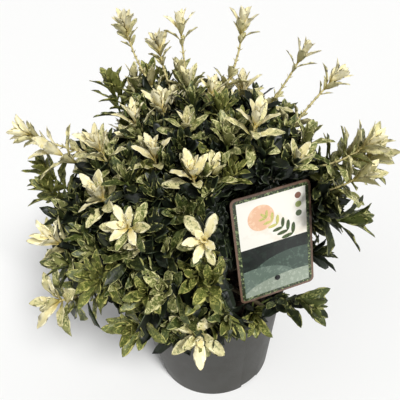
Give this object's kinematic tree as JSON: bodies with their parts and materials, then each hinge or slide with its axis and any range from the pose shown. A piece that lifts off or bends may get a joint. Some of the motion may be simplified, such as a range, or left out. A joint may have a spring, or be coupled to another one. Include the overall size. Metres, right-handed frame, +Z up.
{
  "type": "potted japanese spindle",
  "caption": "Dense variegated evergreen shrub with narrow cream, yellow and dark green leaves, in a round grey nursery pot with a rectangular stick-in label.",
  "frame": {"origin": "centre of the pot's flat underside, on the surface that it stands on", "axes": "+Z up along the pot's axis, -Y the front that the label faces, +X to the right seen from the front"},
  "size_m": [0.4063, 0.3785, 0.4621],
  "materials": {
    "pot": "matte grey moulded plastic",
    "mix": "moist, crumbly potting mix",
    "bark": "grey-brown, finely ridged bark",
    "card": "printed plastic card",
    "stick": "dark plastic",
    "foliage": "leathery leaves, cream, yellow and dark green"
  },
  "bodies": {
    "root": {"pot": "pot", "potting_mix": "mix", "label_card": "card", "label_stick": "stick", "main_stem": "bark", "bough_01": "bark", "bough_02": "bark", "bough_03": "bark", "bough_04": "bark", "bough_05": "bark", "bough_06": "bark", "bough_07": "bark", "bough_08": "bark", "bough_09": "bark", "bough_10": "bark", "bough_11": "bark", "bough_12": "bark", "bough_13": "bark", "bough_14": "bark", "bough_15": "bark", "bough_16": "bark", "bough_17": "bark", "bough_18": "bark", "bough_19": "bark", "bough_20": "bark", "bough_21": "bark", "bough_22": "bark", "bough_23": "bark", "bough_24": "bark", "bough_25": "bark", "foliage_01": "foliage", "foliage_02": "foliage", "foliage_03": "foliage", "foliage_04": "foliage", "foliage_05": "foliage", "foliage_06": "foliage", "foliage_07": "foliage", "foliage_08": "foliage", "foliage_09": "foliage", "foliage_10": "foliage", "foliage_11": "foliage", "foliage_12": "foliage", "foliage_13": "foliage", "foliage_14": "foliage", "foliage_15": "foliage", "foliage_16": "foliage", "foliage_17": "foliage", "foliage_18": "foliage", "foliage_19": "foliage", "foliage_20": "foliage", "foliage_21": "foliage", "foliage_22": "foliage", "foliage_23": "foliage", "foliage_24": "foliage", "foliage_25": "foliage"}
  },
  "joints": []
}
